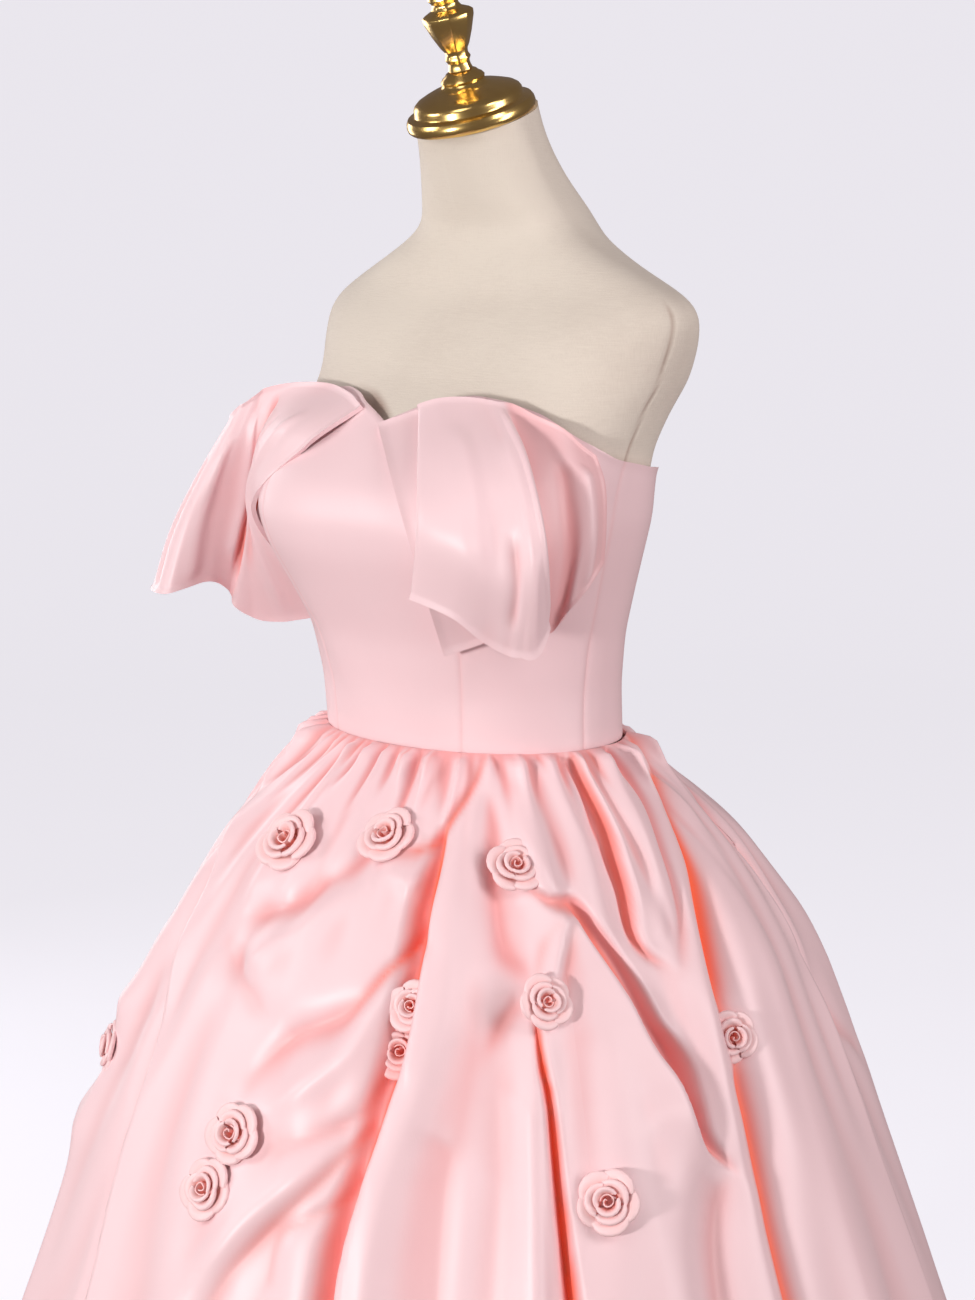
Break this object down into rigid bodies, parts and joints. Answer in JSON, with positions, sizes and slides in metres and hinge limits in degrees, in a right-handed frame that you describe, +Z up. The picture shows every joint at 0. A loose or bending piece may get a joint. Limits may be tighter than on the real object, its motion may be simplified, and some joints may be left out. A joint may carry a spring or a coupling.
{
  "type": "strapless a-line prom dress on a dress form",
  "caption": "Strapless satin prom dress with folded neckline flounces, a gathered full skirt and sewn roses, on a limbless dress form with a stand.",
  "frame": {"origin": "Centre of the underside of the stand's floor plate.", "axes": "+Z up, the dress's front faces -Y, the wearer's left is +X."},
  "size_m": [1.164, 1.1717, 1.6717],
  "materials": {
    "satin": "rose pink duchess satin, soft sheen",
    "rose_satin": "rose pink satin, rolled petals",
    "zip_tape": "woven tape, matt",
    "form_cloth": "cream linen cover, matt",
    "gilt": "polished gilt"
  },
  "bodies": {
    "root": {"bodice_front_centre": "satin", "bodice_front_left": "satin", "bodice_front_right": "satin", "bodice_back_left": "satin", "bodice_back_right": "satin", "flounce_left": "satin", "flounce_right": "satin", "skirt_front": "satin", "skirt_side_left": "satin", "skirt_side_right": "satin", "skirt_back_left": "satin", "skirt_back_right": "satin", "back_zip": "zip_tape", "rosette_01": "rose_satin", "rosette_02": "rose_satin", "rosette_03": "rose_satin", "rosette_04": "rose_satin", "rosette_05": "rose_satin", "rosette_06": "rose_satin", "rosette_07": "rose_satin", "rosette_08": "rose_satin", "rosette_09": "rose_satin", "rosette_10": "rose_satin", "rosette_11": "rose_satin", "rosette_12": "rose_satin", "rosette_13": "rose_satin", "rosette_14": "rose_satin", "rosette_15": "rose_satin", "rosette_16": "rose_satin", "rosette_17": "rose_satin", "rosette_18": "rose_satin", "rosette_19": "rose_satin", "rosette_20": "rose_satin", "form_torso": "form_cloth", "neck_cap": "gilt", "neck_finial": "gilt", "stand_pole": "gilt", "stand_base": "gilt"}
  },
  "joints": []
}
